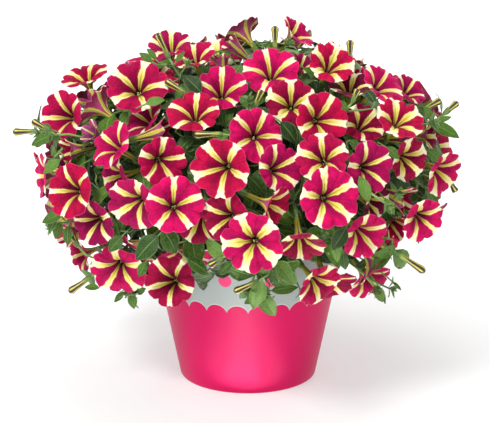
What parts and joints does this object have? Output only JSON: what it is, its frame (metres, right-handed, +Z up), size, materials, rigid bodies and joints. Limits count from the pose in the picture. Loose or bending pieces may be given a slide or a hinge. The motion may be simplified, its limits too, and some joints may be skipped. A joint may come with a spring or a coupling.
{
  "type": "potted petunia",
  "caption": "Trailing petunia in full flower, a dome of striped funnel-shaped blooms and leafy shoots growing in a round tapered plastic pot.",
  "frame": {"origin": "middle of the underside of the pot, on the surface that it stands on", "axes": "+Z up along the axis of the pot, -Y towards the front view, +X to the right in that view"},
  "size_m": [0.4626, 0.5065, 0.3852],
  "materials": {
    "pot_plastic": "satin printed",
    "potting_mix": "damp crumbly peat",
    "shoot_green": "soft hairy leaf",
    "petal": "velvety petal"
  },
  "bodies": {
    "root": {"pot": "pot_plastic", "potting_soil": "potting_mix", "shoot_01": "shoot_green", "shoot_02": "shoot_green", "shoot_03": "shoot_green", "shoot_04": "shoot_green", "shoot_05": "shoot_green", "shoot_06": "shoot_green", "shoot_07": "shoot_green", "shoot_08": "shoot_green", "shoot_09": "shoot_green", "shoot_10": "shoot_green", "shoot_11": "shoot_green", "shoot_12": "shoot_green", "flower_01": "petal", "flower_02": "petal", "flower_03": "petal", "flower_04": "petal", "flower_05": "petal", "flower_06": "petal", "flower_07": "petal", "flower_08": "petal", "flower_09": "petal", "flower_10": "petal", "flower_11": "petal", "flower_12": "petal", "flower_13": "petal", "flower_14": "petal", "flower_15": "petal", "flower_16": "petal", "flower_17": "petal", "flower_18": "petal", "flower_19": "petal", "flower_20": "petal", "flower_21": "petal", "flower_22": "petal", "flower_23": "petal", "flower_24": "petal", "flower_25": "petal", "flower_26": "petal", "flower_27": "petal", "flower_28": "petal", "flower_29": "petal", "flower_30": "petal", "flower_31": "petal", "flower_32": "petal", "flower_33": "petal", "flower_34": "petal", "flower_35": "petal", "flower_36": "petal", "flower_37": "petal", "flower_38": "petal", "flower_39": "petal", "flower_40": "petal", "flower_41": "petal", "flower_42": "petal", "flower_43": "petal", "flower_44": "petal", "flower_45": "petal"}
  },
  "joints": []
}
